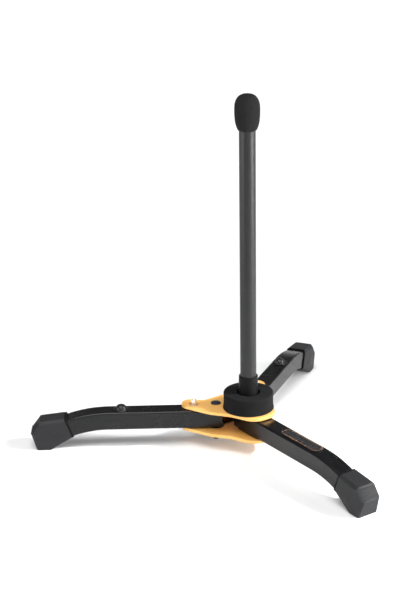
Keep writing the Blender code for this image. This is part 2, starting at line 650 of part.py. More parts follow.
def make_pole():
    """Collar with its insert, the tube in it, and the plug and foam head on top."""
    top = COLLAR_FOOT + COLLAR_HEIGHT
    top_radius = POLE_SIZE / 2 + COLLAR_TOP_WALL
    nut_room = max(BOLT_WASHER_SIZE / 2, NUT_RADIUS) + GAP + 0.1 * MM
    nut_top = PLATE_TOP + BOLT_WASHER_THICKNESS + NUT_HEIGHT + 4 * GAP
    insert_low = COLLAR_FOOT + COLLAR_SEAT - INSERT_LENGTH - 2 * GAP
    seat = COLLAR_FOOT + COLLAR_SEAT
    stud_room = BOLT_SIZE / 2 + 2 * GAP
    pole = POLE_SIZE / 2
    insert = pole - POLE_WALL - INSERT_STEP
    profile = [(top_radius - COLLAR_CHAMFER, top), (top_radius, top - COLLAR_CHAMFER)]
    profile += [(COLLAR_RADIUS, COLLAR_FOOT), (nut_room, COLLAR_FOOT), (nut_room, nut_top)]
    profile += [(stud_room, nut_top)]
    profile += [(stud_room, insert_low), (insert + GAP, insert_low), (insert + GAP, seat)]
    profile += [(pole + GAP, seat), (pole + GAP, top)]
    turned("pole_collar", profile, BLACK_PLASTIC, POLE_LIFT_AXIS, ring=True)
    make_sleeve("pole_insert", POLE_LIFT_AXIS, (0, 0), insert, BOLT_SIZE / 2 + GAP,
                insert_low + GAP, seat - GAP, BRASS)
    make_sleeve("pole_tube", POLE_LIFT_AXIS, (0, 0), pole, pole - POLE_WALL, POLE_FOOT, POLE_TOP,
                SATIN_GREY)

    spigot = pole - POLE_WALL - GAP
    cap_low = POLE_TOP + GAP
    cap_top = cap_low + PLUG_CAP
    plug = [(0, cap_top), (pole, cap_top), (pole, cap_low), (spigot, cap_low),
            (spigot, cap_low - PLUG_SPIGOT), (0, cap_low - PLUG_SPIGOT)]
    turned("pole_end_plug", plug, BLACK_PLASTIC, POLE_LIFT_AXIS)
    make_head(cap_top + GAP)


def make_head(bore_top):
    """Foam head: a blunt oval turned about the pole, cut off below, with a bore that ends at the plug."""
    widest = bore_top + HEAD_CAP - HEAD_TOP
    steps = 9
    profile = []
    for i in range(steps + 1):
        share = math.sin(math.pi / 2 * (1 - i / steps))
        radius = HEAD_RADIUS * (1 - share**HEAD_POWER) ** (1 / HEAD_POWER)
        profile.append((radius, widest + HEAD_TOP * share))
    steps = 6
    for i in range(1, steps + 1):
        drop = HEAD_BOTTOM * i / steps
        radius = HEAD_RADIUS * (1 - (drop / HEAD_FULL_BOTTOM) ** HEAD_POWER) ** (1 / HEAD_POWER)
        profile.append((radius, widest - drop))
    bore = POLE_SIZE / 2 + GAP
    profile += [(bore, widest - HEAD_BOTTOM), (bore, bore_top), (0, bore_top)]
    turned("pole_head", profile, BLACK_FOAM, POLE_LIFT_AXIS)


POLE_AXIS = empty("pole_axis", (0, AXIS_Y, 0))
POLE_LIFT_AXIS = empty("pole_lift_axis", (0, AXIS_Y, 0))

make_plates()
make_front_leg()
for side_name, side in SIDES.items():
    make_rear_leg(side_name, side)
    make_pivot(side_name, side)
make_centre_bolt()
make_base_pad()
make_pole()
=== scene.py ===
# Folding tripod stand for an alto flute. Metres, +Z up, floor at Z = 0, front leg toward -Y. The packed
# CAD model gives every place. Each section remodels or finishes one piece, in the order of assembly.

import math

import bmesh
import bpy
from mathutils import Matrix, Vector, noise


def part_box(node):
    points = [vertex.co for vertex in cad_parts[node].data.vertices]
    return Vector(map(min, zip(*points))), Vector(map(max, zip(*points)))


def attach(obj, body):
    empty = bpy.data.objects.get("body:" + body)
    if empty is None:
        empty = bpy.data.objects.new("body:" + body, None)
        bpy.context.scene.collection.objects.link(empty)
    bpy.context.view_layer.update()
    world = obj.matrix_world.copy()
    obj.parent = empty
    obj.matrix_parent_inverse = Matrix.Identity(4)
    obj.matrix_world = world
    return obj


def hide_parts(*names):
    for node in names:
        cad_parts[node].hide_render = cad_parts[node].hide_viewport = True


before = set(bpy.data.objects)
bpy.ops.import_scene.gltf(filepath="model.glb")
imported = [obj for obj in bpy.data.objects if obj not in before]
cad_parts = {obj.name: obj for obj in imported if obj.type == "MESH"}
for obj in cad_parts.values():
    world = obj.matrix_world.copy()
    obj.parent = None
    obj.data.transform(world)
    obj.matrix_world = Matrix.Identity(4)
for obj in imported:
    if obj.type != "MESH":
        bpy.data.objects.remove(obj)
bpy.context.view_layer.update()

# Plates: two steel plates of one outline, laser-cut, with their rims rounded and painted satin gold, the
# rims painted lighter as a painted highlight. They clamp the three legs between them. The upper one has
# a hole over each rear leg for its lock button.

MM = 0.001
GAP = 0.3 * MM  # between pieces that touch
MERGE = 0.001 * MM  # vertices nearer than this are one
THROUGH = (0, 1)  # heights of the two ends of a hole right through a piece
SHARP = 35  # degrees of turn that make an edge sharp
LEVEL = 0.9  # of a unit normal's Z, more on a level face
SIDES = ("left", "right")

SHANK_HOLE = 6.6 * MM
STUD_HOLE = 8.6 * MM
LOCK_HOLE = 10.3 * MM
PLATE_NOTCH = Vector((26.5 * MM, 41.0 * MM))
PLATE_SHOULDER = Vector((38.0 * MM, 12.6 * MM))
PLATE_WAIST = Vector((24.5 * MM, -4.5 * MM))
PLATE_NOSE = Vector((13.5 * MM, -29.9 * MM))
NOTCH_ROUND = 5.0 * MM
SIDE_ROUND = 12.0 * MM
NOSE_ROUND = 16.0 * MM
TIP_ROUND = 9.7 * MM
TIP_OFFSET = Vector((1.15 * MM, 3.55 * MM))  # of its centre from the lock hole
TIP_CORNERS = 4
TIP_SHARE = 0.999  # of the tip's radius, which keeps the rounds of its corners apart
PLATE_RIM = 0.8 * MM
RIM_TILT = (0.1, 0.95)  # of a rim face's normal, between a wall and a flat
GOLD_DARK = (0.86, 0.435, 0.105)
GOLD_LIGHT = (0.99, 0.69, 0.26)


class Socket:
    """A value in a finish's nodes. Arithmetic on it adds the Math nodes that work it out."""

    def __init__(self, finish, link):
        self.finish = finish
        self.link = link

    def math(self, operation, first, second):
        return self.finish.node("ShaderNodeMath", {"operation": operation}, {0: first, 1: second})

    def __add__(self, other):
        return self.math("ADD", self, other)

    def __sub__(self, other):
        return self.math("SUBTRACT", self, other)

    def __rsub__(self, other):
        return self.math("SUBTRACT", other, self)

    def __mul__(self, other):
        return self.math("MULTIPLY", self, other)

    __radd__ = __add__
    __rmul__ = __mul__


class Finish:
    """One painted, plated or moulded surface: a Principled shader and the nodes that vary it."""

    def __init__(self, name, constants):
        self.material = bpy.data.materials.new(name)
        self.material.use_nodes = True
        self.tree = self.material.node_tree
        self.shader = self.tree.nodes["Principled BSDF"]
        for socket, value in constants.items():
            self.shader.inputs[socket].default_value = value

    def node(self, kind, settings, sockets, output=0):
        made = self.tree.nodes.new(kind)
        for setting, value in settings.items():
            setattr(made, setting, value)
        for socket, value in sockets.items():
            if isinstance(value, Socket):
                self.tree.links.new(value.link, made.inputs[socket])
            else:
                made.inputs[socket].default_value = value
        return Socket(self, made.outputs[output])

    def feed(self, name, value):
        self.tree.links.new(value.link, self.shader.inputs[name])

    def place(self, stretch=(1, 1, 1)):
        """Place on the object. A small stretch along an axis draws a pattern out along it."""
        place = self.node("ShaderNodeTexCoord", {}, {}, "Object")
        return self.node("ShaderNodeMapping", {}, {"Vector": place, "Scale": stretch})

    def grain(self, size, detail, stretch=(1, 1, 1)):
        """Noise with blobs about that size across."""
        place = self.place(stretch)
        return self.node("ShaderNodeTexNoise", {}, {"Vector": place, "Scale": 1 / size, "Detail": detail})

    def mixed(self, share, first, second):
        """Colour between two others, each given as red, green and blue or by a socket."""
        ends = [end if isinstance(end, Socket) else (*end, 1) for end in (first, second)]
        return self.node("ShaderNodeMix", {"data_type": "RGBA"}, {0: share, 6: ends[0], 7: ends[1]}, 2)

    def rough_up(self, height, depth, strength):
        """Bump of a real depth."""
        bump = {"Height": height, "Distance": depth, "Strength": strength}
        self.feed("Normal", self.node("ShaderNodeBump", {}, bump))


def middle(node):
    """Middle of a CAD node's box."""
    low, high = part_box(node)
    return (low + high) / 2


def rounded(bm, verts, radius, segments):
    """Rounds corners of a flat outline to a radius, each by how much its two edges turn."""
    for vert in verts:
        first, second = (edge.other_vert(vert).co - vert.co for edge in vert.link_edges)
        offset = radius / math.tan(first.angle(second) / 2)
        bmesh.ops.bevel(
            bm, geom=[vert], offset=offset, offset_type="OFFSET", segments=segments, profile=0.5,
            affect="VERTICES", material=-1,
        )


def only(geometry, kind):
    """The elements of one kind, such as BMVert, in what a bmesh operator gives back."""
    return [element for element in geometry if isinstance(element, kind)]


def thicken(bm, offset):
    """Pulls a flat face by an offset into a solid."""
    pulled = bmesh.ops.extrude_face_region(bm, geom=list(bm.faces))["geom"]
    bmesh.ops.translate(bm, vec=offset, verts=only(pulled, bmesh.types.BMVert))


def add_piece(name, bm, finish, body=None, stands_for=(), sharp=SHARP):
    """Finished piece at the origin, riding on its body in place of CAD nodes. Cutters have no body."""
    bmesh.ops.remove_doubles(bm, verts=bm.verts, dist=MERGE)
    bmesh.ops.recalc_face_normals(bm, faces=bm.faces)
    mesh = bpy.data.meshes.new(name)
    bm.to_mesh(mesh)
    bm.free()
    mesh.shade_smooth()
    mesh.set_sharp_from_angle(angle=math.radians(sharp))
    piece = bpy.data.objects.new(name, mesh)
    bpy.context.scene.collection.objects.link(piece)
    if finish:
        mesh.materials.append(finish.material)
    if body:
        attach(piece, body)
        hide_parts(*stands_for)
    return piece


def settle(piece):
    """Makes a piece's modifiers part of its mesh."""
    graph = bpy.context.evaluated_depsgraph_get()
    before = piece.data
    piece.data = bpy.data.meshes.new_from_object(piece.evaluated_get(graph), depsgraph=graph)
    piece.modifiers.clear()
    bpy.data.meshes.remove(before)


def carve(piece, bm, operation="DIFFERENCE"):
    """Cuts a piece by a bmesh, keeps what the two share, or joins them."""
    cutter = add_piece("cutter", bm, None)
    boolean = piece.modifiers.new("cut", "BOOLEAN")
    boolean.operation = operation
    boolean.object = cutter
    settle(piece)
    bpy.data.objects.remove(cutter)


def soften(piece, width, angle=30):
    """Rounds every edge that turns by more than an angle, and keeps the flats flat."""
    bevel = piece.modifiers.new("edges", "BEVEL")
    bevel.width = width
    bevel.segments = 3
    bevel.limit_method = "ANGLE"
    bevel.angle_limit = math.radians(angle)
    bevel.harden_normals = True
    settle(piece)


def flatten(piece):
    """Shades the flats straight and leaves the turn to the narrow faces between them."""
    flats = piece.modifiers.new("flats", "WEIGHTED_NORMAL")
    flats.weight = 100
    flats.keep_sharp = True
    settle(piece)


def pin(bm, place, diameter, low, high, segments=48):
    """Upright cylinder, or a prism with few segments."""
    lift = Matrix.Translation((place.x, place.y, (low + high) / 2))
    bmesh.ops.create_cone(
        bm, cap_ends=True, segments=segments, radius1=diameter / 2, radius2=diameter / 2,
        depth=high - low, matrix=lift,
    )


def plate_tip():
    """Corners of the wing's tip round its circle, before they are rounded to it."""
    lock = middle("right_lock_button") - middle("pole_tube")
    centre = Vector((lock.x, lock.y)) + TIP_OFFSET
    ends = []
    for point, turn in ((PLATE_NOTCH, -1), (PLATE_SHOULDER, 1)):
        away = point - centre
        ends.append(math.atan2(away.y, away.x) + turn * math.acos(TIP_ROUND / away.length))
    step = ((ends[1] - ends[0]) % (-2 * math.pi)) / TIP_CORNERS
    reach = TIP_ROUND / math.cos(step / 2)
    angles = [ends[0] + step * (i + 0.5) for i in range(TIP_CORNERS)]
    return [centre + reach * Vector((math.cos(a), math.sin(a))) for a in angles]


def make_plate(name, node, lock_holes):
    """Plate from the corners of its right half, each with the radius and the segments of its round."""
    low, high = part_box(node)
    pole = middle("pole_tube")
    corners = [(PLATE_NOTCH, NOTCH_ROUND, 8)]
    corners += [(corner, TIP_ROUND * TIP_SHARE, 7) for corner in plate_tip()]
    corners += [(PLATE_SHOULDER, SIDE_ROUND, 10), (PLATE_WAIST, SIDE_ROUND, 10)]
    corners += [(PLATE_NOSE, NOSE_ROUND, 16)]
    count = len(corners)
    bm = bmesh.new()
    verts = {}
    for side in (1, -1):
        for i, (corner, _, _) in enumerate(corners):
            verts[side, i] = bm.verts.new((side * corner.x, corner.y, 0))
    bm.faces.new([verts[1, i] for i in range(count)] + [verts[-1, i] for i in reversed(range(count))])
    for i, (_, radius, segments) in enumerate(corners):
        rounded(bm, [verts[1, i], verts[-1, i]], radius, segments)
    thicken(bm, (0, 0, high.z - low.z))
    bmesh.ops.translate(bm, vec=(pole.x, pole.y, low.z), verts=bm.verts)
    plate = add_piece(name, bm, gold, "base", [node])
    holes = bmesh.new()
    pin(holes, pole, STUD_HOLE, *THROUGH)
    pin(holes, middle("front_leg_rivet"), SHANK_HOLE, *THROUGH)
    for side in SIDES:
        pin(holes, middle(side + "_pivot_bolt"), SHANK_HOLE, *THROUGH)
        if lock_holes:
            pin(holes, middle(side + "_lock_button"), LOCK_HOLE, *THROUGH)
    carve(plate, holes)
    soften(plate, PLATE_RIM)
    flatten(plate)
    # Rim faces are marked so that the gold finish paints them lighter, a painted highlight on the rounded
    # rims.
    rim_highlight = plate.data.attributes.new("rim", "FLOAT", "FACE")
    low_tilt, high_tilt = RIM_TILT
    tilts = [abs(face.normal.z) for face in plate.data.polygons]
    rim_highlight.data.foreach_set("value", [float(low_tilt < tilt < high_tilt) for tilt in tilts])


gold = Finish("satin_gold_paint", {"Metallic": 0.15})
gold_cloud = gold.grain(35 * MM, detail=3)
gold_peel = gold.grain(0.7 * MM, detail=3)
gold_rim_highlight = gold.node("ShaderNodeAttribute", {"attribute_name": "rim"}, {}, "Fac")
# Painted highlight: the rim faces are mixed toward the light gold. The cloud and the peel are random tone.
gold_tone_and_rim_highlight = 0.25 * gold_cloud + 0.55 * gold_rim_highlight + 0.1 * gold_peel
gold.feed("Base Color", gold.mixed(gold_tone_and_rim_highlight, GOLD_DARK, GOLD_LIGHT))
gold.feed("Roughness", 0.34 + 0.12 * gold_peel - 0.08 * gold_rim_highlight)
gold.rough_up(gold_peel, depth=0.03 * MM, strength=0.6)

make_plate("lower_plate", "bottom_plate", False)
make_plate("upper_plate", "top_plate", True)

# Legs: square steel tube, bent down at the outer end in one smooth curve, powder-coated gloss black. The
# rear legs have a bore to turn on, a hole for the lock and one for the plug; the front leg is bolted.

TUBE_SIZE = 19.0 * MM
TUBE_WALL = 1.5 * MM
TUBE_CORNER = 2.2 * MM
TUBE_HEIGHT = 29.2 * MM  # of its centre line
BEND_RADIUS = 118.0 * MM
BEND_ANGLE = math.radians(20)
BEND_START = {"front": 112.1 * MM, "left": 108.8 * MM, "right": 108.8 * MM}
TUBE_TAIL = {"front": 12.0 * MM, "left": 6.0 * MM, "right": 6.0 * MM}
SOCKET_LENGTH = 14.5 * MM  # of tube in the boot
PIVOT_BORE = 9.6 * MM
PLUG_BORE = 8.6 * MM
LEG_BODY = {"front": "base", "left": "left_leg", "right": "right_leg"}
PAINT_DARK = (0.003, 0.003, 0.0035)
PAINT_LIGHT = (0.006, 0.006, 0.0065)


def leg_place(leg):
    """Where a leg's own axes stand: its X runs out along it from the bolt that holds it."""
    held, outer = {
        "front": ("pole_tube", "leg_label"),
        "left": ("left_pivot_bolt", "left_leg_plug"),
        "right": ("right_pivot_bolt", "right_leg_plug"),
    }[leg]
    start = middle(held)
    along = middle(outer) - start
    turn = Matrix.Rotation(math.atan2(along.y, along.x), 4, "Z")
    return Matrix.Translation((start.x, start.y, 0)) @ turn


def pull(bm, edges, offset):
    """Extrudes open edges by an offset and gives back the new ones."""
    made = bmesh.ops.extrude_edge_only(bm, edges=edges)["geom"]
    bmesh.ops.translate(bm, vec=offset, verts=only(made, bmesh.types.BMVert))
    return only(made, bmesh.types.BMEdge)


def tube_end(grow=0.0):
    """Face with the tube's rounded square outline, square to X, made larger all round by grow."""
    bm = bmesh.new()
    bmesh.ops.create_grid(bm, x_segments=1, y_segments=1, size=TUBE_SIZE / 2 + grow)
    rounded(bm, list(bm.verts), TUBE_CORNER + grow, 6)
    bmesh.ops.rotate(bm, verts=bm.verts, cent=(0, 0, 0), matrix=Matrix.Rotation(math.pi / 2, 3, "Y"))
    return bm


def make_leg(leg):
    """Tube pulled out from its outline, bent, hollowed and bored."""
    bm = tube_end()
    bmesh.ops.delete(bm, geom=list(bm.faces), context="FACES_ONLY")
    bmesh.ops.translate(bm, vec=(-TUBE_TAIL[leg], 0, TUBE_HEIGHT), verts=bm.verts)
    edges = pull(bm, list(bm.edges), Vector((TUBE_TAIL[leg] + BEND_START[leg], 0, 0)))
    centre = (BEND_START[leg], 0, TUBE_HEIGHT - BEND_RADIUS)
    bend = bmesh.ops.spin(bm, geom=edges, cent=centre, axis=(0, 1, 0), angle=BEND_ANGLE, steps=16)
    down = Vector((math.cos(BEND_ANGLE), 0, -math.sin(BEND_ANGLE)))
    pull(bm, only(bend["geom_last"], bmesh.types.BMEdge), SOCKET_LENGTH * down)
    bmesh.ops.transform(bm, matrix=leg_place(leg), verts=bm.verts)
    tube = add_piece(leg + "_leg_tube", bm, black_paint, LEG_BODY[leg], [leg + "_leg"])
    wall = tube.modifiers.new("wall", "SOLIDIFY")
    wall.thickness = TUBE_WALL
    wall.offset = -1
    wall.use_even_offset = True
    settle(tube)
    holes = bmesh.new()
    if leg == "front":
        pin(holes, middle("pole_tube"), STUD_HOLE, *THROUGH)
        pin(holes, middle("front_leg_rivet"), SHANK_HOLE, *THROUGH)
    else:
        pin(holes, middle(leg + "_pivot_bolt"), PIVOT_BORE, *THROUGH)
        pin(holes, middle(leg + "_lock_button"), LOCK_HOLE, TUBE_HEIGHT, THROUGH[1])
        pin(holes, middle(leg + "_leg_plug"), PLUG_BORE, TUBE_HEIGHT, THROUGH[1])
    carve(tube, holes)
    flatten(tube)


black_paint = Finish("gloss_black_paint", {"IOR": 1.36})
paint_cloud = black_paint.grain(28 * MM, detail=2)
paint_peel = black_paint.grain(1.1 * MM, detail=2)
black_paint.feed("Base Color", black_paint.mixed(paint_cloud, PAINT_DARK, PAINT_LIGHT))
black_paint.feed("Roughness", 0.20 + 0.08 * paint_cloud + 0.05 * paint_peel)
black_paint.rough_up(paint_peel, depth=0.02 * MM, strength=0.5)

for leg in LEG_BODY:
    make_leg(leg)

# Boots: black rubber, moulded in facets and pushed on the tube's end. The heel has a field of ribs, and a
# thin inner sleeve shows at the mouth; its near-black rubber is painted shade in the boot's mouth.

LIP_TOP_WALL = 2.45 * MM
LIP_SIDE_WALL = 1.4 * MM
LIP_BOTTOM_WALL = 1.1 * MM
BOOT_SIDE_WALL = 2.3 * MM
BOOT_CREASE_WALL = 3.3 * MM
HEEL_TOP = Vector((29.0 * MM, 8.2 * MM))  # from the middle of the lip, outward and up
HEEL_OUT = Vector((38.2 * MM, -4.05 * MM))
SOLE_OUT = 32.2 * MM
SOLE_IN = 18.8 * MM
SIDE_CREASE = Vector((15.0 * MM, -8.1 * MM))
BOOT_CHAMFER = 3.0 * MM
SOLE_CHAMFER = 1.0 * MM
BOOT_EDGE = 0.35 * MM
FACET_TURN = 8  # degrees; edges that turn by more are rounded
RIBS = 7
RIB_DEPTH = 1.05 * MM
GROOVE_LENGTH = 40 * MM
SLEEVE_WALL = 0.8 * MM
SLEEVE_RISE = 1.1 * MM  # of its upper wall over the others
SLEEVE_LENGTH = 1.6 * MM  # of it outside the mouth
SLEEVE_DEPTH = 1 * MM  # of it inside
CUTTER_LEAD = 8 * MM  # of a mouth's cutter outside it
BOOT_DARK = (0.011, 0.011, 0.012)
BOOT_LIGHT = (0.018, 0.018, 0.0195)
# Near black, darker than the boot: painted shade in the boot's mouth.
MOUTH_SHADE_DARK = (0.003, 0.003, 0.003)
MOUTH_SHADE_LIGHT = (0.006, 0.006, 0.006)


def inset_outline(points, depths):
    """Outline moved inward by a depth for each edge, from each point to the next."""
    moved = []
    for i, point in enumerate(points):
        before = (points[i - 1] - point).normalized()
        after = (points[(i + 1) % len(points)] - point).normalized()
        moved.append(point + (before * depths[i] + after * depths[i - 1]) / abs(before.cross(after)))
    return moved


def socket_solid(place, grow, lead, length, rise=0.0):
    """Solid of the tube's section at a boot's mouth, from a lead outside the lip, its top half raised."""
    bm = tube_end(grow)
    bmesh.ops.translate(bm, vec=(0, 0, rise), verts=[v for v in bm.verts if v.co.z > 0])
    thicken(bm, (length, 0, 0))
    bmesh.ops.translate(bm, vec=(-lead, 0, 0), verts=bm.verts)
    bmesh.ops.rotate(bm, cent=(0, 0, 0), matrix=Matrix.Rotation(BEND_ANGLE, 3, "Y"), verts=bm.verts)
    bmesh.ops.transform(bm, matrix=place, verts=bm.verts)
    return bm


def make_boot(leg):
    """Boot as the hull of its side outline at a narrow width and of an inset one at the full width."""
    body = LEG_BODY[leg]
    lip_height = TUBE_HEIGHT - BEND_RADIUS * (1 - math.cos(BEND_ANGLE))
    lip = Matrix.Translation((BEND_START[leg] + BEND_RADIUS * math.sin(BEND_ANGLE), 0, lip_height))
    place = leg_place(leg) @ lip
    across = Vector((math.sin(BEND_ANGLE), math.cos(BEND_ANGLE)))
    lip_top = (TUBE_SIZE / 2 + LIP_TOP_WALL) * across
    lip_bottom = -(TUBE_SIZE / 2 + LIP_BOTTOM_WALL) * across
    floor_out = Vector((SOLE_OUT, -lip_height))
    floor_in = Vector((SOLE_IN, -lip_height))
    outline = [lip_top, HEEL_TOP, HEEL_OUT, floor_out, floor_in, lip_bottom]
    lip_half = TUBE_SIZE / 2 + LIP_SIDE_WALL
    half = TUBE_SIZE / 2 + BOOT_SIDE_WALL
    crease_half = TUBE_SIZE / 2 + BOOT_CREASE_WALL
    widths = [lip_half] + 4 * [half] + [lip_half]
    depths = 3 * [BOOT_CHAMFER] + [SOLE_CHAMFER, BOOT_CHAMFER, 0]
    flats = 3 * [half - BOOT_CHAMFER] + 2 * [half - SOLE_CHAMFER] + [lip_half - BOOT_CHAMFER]
    bm = bmesh.new()
    for side in (-1, 1):
        for points, halves in ((outline, flats), (inset_outline(outline, depths), widths)):
            for point, width in zip(points, halves):
                bm.verts.new((point.x, side * width, point.y))
        bm.verts.new((SIDE_CREASE.x, side * crease_half, SIDE_CREASE.y))
    bmesh.ops.convex_hull(bm, input=bm.verts)
    bmesh.ops.dissolve_limit(bm, angle_limit=math.radians(1), verts=bm.verts, edges=bm.edges)
    bmesh.ops.transform(bm, matrix=place, verts=bm.verts)
    boot = add_piece(leg + "_rubber_boot", bm, boot_rubber, body, [leg + "_boot"])
    soften(boot, BOOT_EDGE, FACET_TURN)
    carve(boot, rib_grooves(place))
    carve(boot, socket_solid(place, GAP, CUTTER_LEAD, CUTTER_LEAD + SOCKET_LENGTH + GAP))
    flatten(boot)
    # The sleeve, in near-black rubber, is painted shade at the boot's mouth.
    length = SLEEVE_LENGTH + SLEEVE_DEPTH
    bm = socket_solid(place, GAP + SLEEVE_WALL, SLEEVE_LENGTH, length, SLEEVE_RISE)
    sleeve = add_piece(leg + "_boot_shade_sleeve", bm, mouth_shade_rubber, body)
    carve(sleeve, socket_solid(place, GAP, CUTTER_LEAD, 3 * CUTTER_LEAD))
    flatten(sleeve)


def rib_grooves(place):
    """Grooves between the heel's ribs: square bars laid corner down across the heel's slope."""
    slope = HEEL_OUT - HEEL_TOP
    turn = math.atan2(-slope.y, slope.x) + math.pi / 4
    thickness = RIB_DEPTH * math.sqrt(2)
    bars = bmesh.new()
    for i in range(1, RIBS):
        spot = HEEL_TOP + slope * i / RIBS
        bar = bmesh.ops.create_cube(bars, size=1)["verts"]
        bmesh.ops.scale(bars, vec=(thickness, GROOVE_LENGTH, thickness), verts=bar)
        bmesh.ops.rotate(bars, cent=(0, 0, 0), matrix=Matrix.Rotation(turn, 3, "Y"), verts=bar)
        bmesh.ops.translate(bars, vec=(spot.x, 0, spot.y), verts=bar)
    bmesh.ops.transform(bars, matrix=place, verts=bars.verts)
    return bars


def rubber(name, dark, light, roughness, shine):
    """Moulded rubber: a fine sandblasted grain and a faint bloom."""
    finish = Finish(name, {"Specular IOR Level": shine})
    bloom = finish.grain(9 * MM, detail=3)
    sand = finish.grain(0.45 * MM, detail=2)
    finish.feed("Base Color", finish.mixed(bloom, dark, light))
    finish.feed("Roughness", roughness - 0.05 + 0.1 * sand + 0.06 * bloom)
    finish.rough_up(sand, depth=0.05 * MM, strength=0.8)
    return finish


boot_rubber = rubber("boot_rubber_grain", BOOT_DARK, BOOT_LIGHT, roughness=0.52, shine=0.25)
# Near-black rubber for the sleeve: painted shade at the mouth.
mouth_shade_rubber = rubber("painted_mouth_shade_rubber", MOUTH_SHADE_DARK, MOUTH_SHADE_LIGHT, roughness=0.8, shine=0.1)

for leg in LEG_BODY:
    make_boot(leg)

# Pivots: a black bolt with a low domed head goes down through each wing and its leg, into a black nut. A
# steel spacer tube keeps the plates apart, and thin plastic washers let the leg turn.

PIVOT_SHANK = 6.0 * MM
PIVOT_HEAD = 10.2 * MM
PIVOT_NUT_FLATS = 10.0 * MM
PIVOT_PITCH = 1 * MM
HEAD_EDGE = 0.4 * MM
BOLT_POINT = 0.6 * MM
THREAD_DEPTH = 0.3 * MM
THREAD_FORM = ((0.1, 0), (0.5, 1), (0.6, 1), (0.95, 0))  # shares of the pitch and of the depth
NUT_FACE = 0.94  # of the flats, the round face inside its chamfer
NUT_CHAMFER = math.radians(30)
STEEL_DARK = (0.022, 0.024, 0.028)
STEEL_LIGHT = (0.038, 0.040, 0.045)
ZINC_DARK = (0.40, 0.41, 0.43)
ZINC_LIGHT = (0.58, 0.59, 0.60)
NYLON_DARK = (0.004, 0.004, 0.0045)
NYLON_LIGHT = (0.007, 0.007, 0.0075)


def turned(profile, place, steps=48):
    """Bmesh turned about an upright axis from (radius, height) points. A ring's last point is its first."""
    bm = bmesh.new()
    verts = [bm.verts.new((radius, 0, height)) for radius, height in profile]
    edges = [bm.edges.new(pair) for pair in zip(verts, verts[1:])]
    bmesh.ops.spin(
        bm, geom=verts + edges, cent=(0, 0, 0), axis=(0, 0, 1), angle=2 * math.pi, steps=steps,
        use_merge=True,
    )
    bmesh.ops.translate(bm, vec=(place.x, place.y, 0), verts=bm.verts)
    return bm


def arc(radius, height, reach, rise, start, end, steps=8):
    """Points of a quarter or less of an ellipse about (radius, height), angles in degrees from outward."""
    angles = [math.radians(start + (end - start) * i / steps) for i in range(steps + 1)]
    return [(radius + reach * math.cos(a), height + rise * math.sin(a)) for a in angles]


def thread(radius, high, low, pitch):
    """Points down a threaded end, from high to low."""
    points = []
    for i in range(int((high - low) / pitch)):
        points += [(radius - THREAD_DEPTH * cut, high - pitch * (i + share)) for share, cut in THREAD_FORM]
    return points


def hexagon(name, node, flats, finish, low, high):
    """Nut or bolt head: a hexagon with its corners turned down above and below."""
    place = middle(node)
    face = flats / 2 * NUT_FACE
    corner = flats / math.sqrt(3)
    drop = (corner - face) * math.tan(NUT_CHAMFER)
    bm = bmesh.new()
    pin(bm, place, 2 * corner, low, high, 6)
    nut = add_piece(name, bm, finish, "base", [node])
    corner += 10 * MERGE
    lens = [(0, high), (face, high), (corner, high - drop), (corner, low + drop), (face, low), (0, low)]
    carve(nut, turned(lens, place, 60), "INTERSECT")
    return nut


def finish_node(node, finish):
    """New finish for a CAD piece that is kept."""
    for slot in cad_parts[node].material_slots:
        slot.material = finish.material


def make_pivot(side):
    """Bolt and nut that a rear leg turns on, and new finishes for what they hold."""
    bolt, nut = side + "_pivot_bolt", side + "_pivot_nut"
    low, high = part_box(bolt)
    nut_low, nut_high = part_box(nut)
    head = PIVOT_HEAD / 2
    shank = PIVOT_SHANK / 2
    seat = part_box("top_plate")[1].z + GAP
    profile = arc(0, seat + HEAD_EDGE, head, high.z - seat - HEAD_EDGE, 90, 0, 12)
    profile += [(head, seat), (shank, seat)]
    profile += thread(shank, nut_high.z, low.z + 2 * BOLT_POINT, PIVOT_PITCH)
    profile += [(shank, low.z + BOLT_POINT), (shank - BOLT_POINT, low.z), (0, low.z)]
    add_piece(side + "_hinge_bolt", turned(profile, middle(bolt)), black_steel, "base", [bolt])
    name = side + "_hinge_nut"
    made = hexagon(name, nut, PIVOT_NUT_FLATS, black_steel, nut_low.z, nut_high.z)
    bore = bmesh.new()
    pin(bore, middle(nut), SHANK_HOLE, *THROUGH)
    carve(made, bore)
    finish_node(side + "_pivot_sleeve", zinc)
    finish_node(side + "_pivot_washer_top", black_nylon)
    finish_node(side + "_pivot_washer_bottom", black_nylon)


black_steel = Finish("black_oxide_steel", {"Metallic": 0.3, "Specular IOR Level": 0.35})
oxide = black_steel.grain(3 * MM, detail=3)
black_steel.feed("Base Color", black_steel.mixed(oxide, STEEL_DARK, STEEL_LIGHT))
black_steel.feed("Roughness", 0.26 + 0.15 * oxide)
black_steel.rough_up(oxide, depth=0.02 * MM, strength=0.5)

zinc = Finish("zinc_plated_steel", {"Metallic": 1.0})
spangle = zinc.grain(1.5 * MM, detail=3)
zinc.feed("Base Color", zinc.mixed(spangle, ZINC_DARK, ZINC_LIGHT))
zinc.feed("Roughness", 0.25 + 0.2 * spangle)
zinc.rough_up(spangle, depth=0.02 * MM, strength=0.4)

black_nylon = Finish("black_nylon", {"Specular IOR Level": 0.08})
nylon_grain = black_nylon.grain(0.6 * MM, detail=2)
black_nylon.feed("Base Color", black_nylon.mixed(nylon_grain, NYLON_DARK, NYLON_LIGHT))
black_nylon.feed("Roughness", 0.42 + 0.12 * nylon_grain)
black_nylon.rough_up(nylon_grain, depth=0.03 * MM, strength=0.5)

for side in SIDES:
    make_pivot(side)

# Front fixing: a domed steel rivet behind the centre bolt keeps the front leg from turning, and two plastic
# shims fill the height that the rear legs' washers take.

RIVET_HEAD = 10.0 * MM
RIVET_SHANK = 6.0 * MM
RIVET_EDGE = 0.5 * MM
RIVET_FOOT = 0.8  # of the head, across
RIVET_DIMPLE = (0.6, 0.5)  # of the shank, across its mouth and its floor

